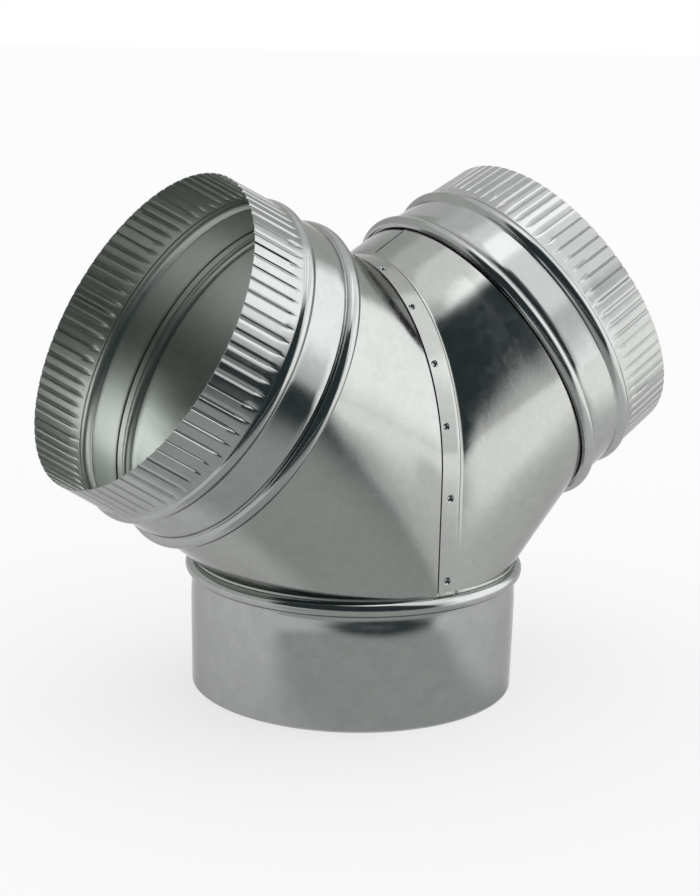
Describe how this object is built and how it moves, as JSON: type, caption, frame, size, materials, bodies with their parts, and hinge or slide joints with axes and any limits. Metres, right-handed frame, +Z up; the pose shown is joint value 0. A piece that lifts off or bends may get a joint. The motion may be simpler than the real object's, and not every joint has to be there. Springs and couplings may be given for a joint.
{
  "type": "duct y branch",
  "caption": "Sheet steel Y branch for round duct: plain inlet collar, lapped gore body and crimped outlet collars held by rolled lock rings.",
  "frame": {"origin": "centre of the base collar's rim, on the surface that it stands on", "axes": "+Z up along the base collar's axis, +X towards the right branch, +Y to the back"},
  "size_m": [0.3996, 0.2128, 0.3223],
  "materials": {
    "collar_steel": "galvanised satin",
    "gore_steel": "galvanised satin"
  },
  "bodies": {
    "root": {"base_collar": "collar_steel", "left_gore": "gore_steel", "right_gore": "gore_steel", "left_collar": "collar_steel", "right_collar": "collar_steel"}
  },
  "joints": []
}
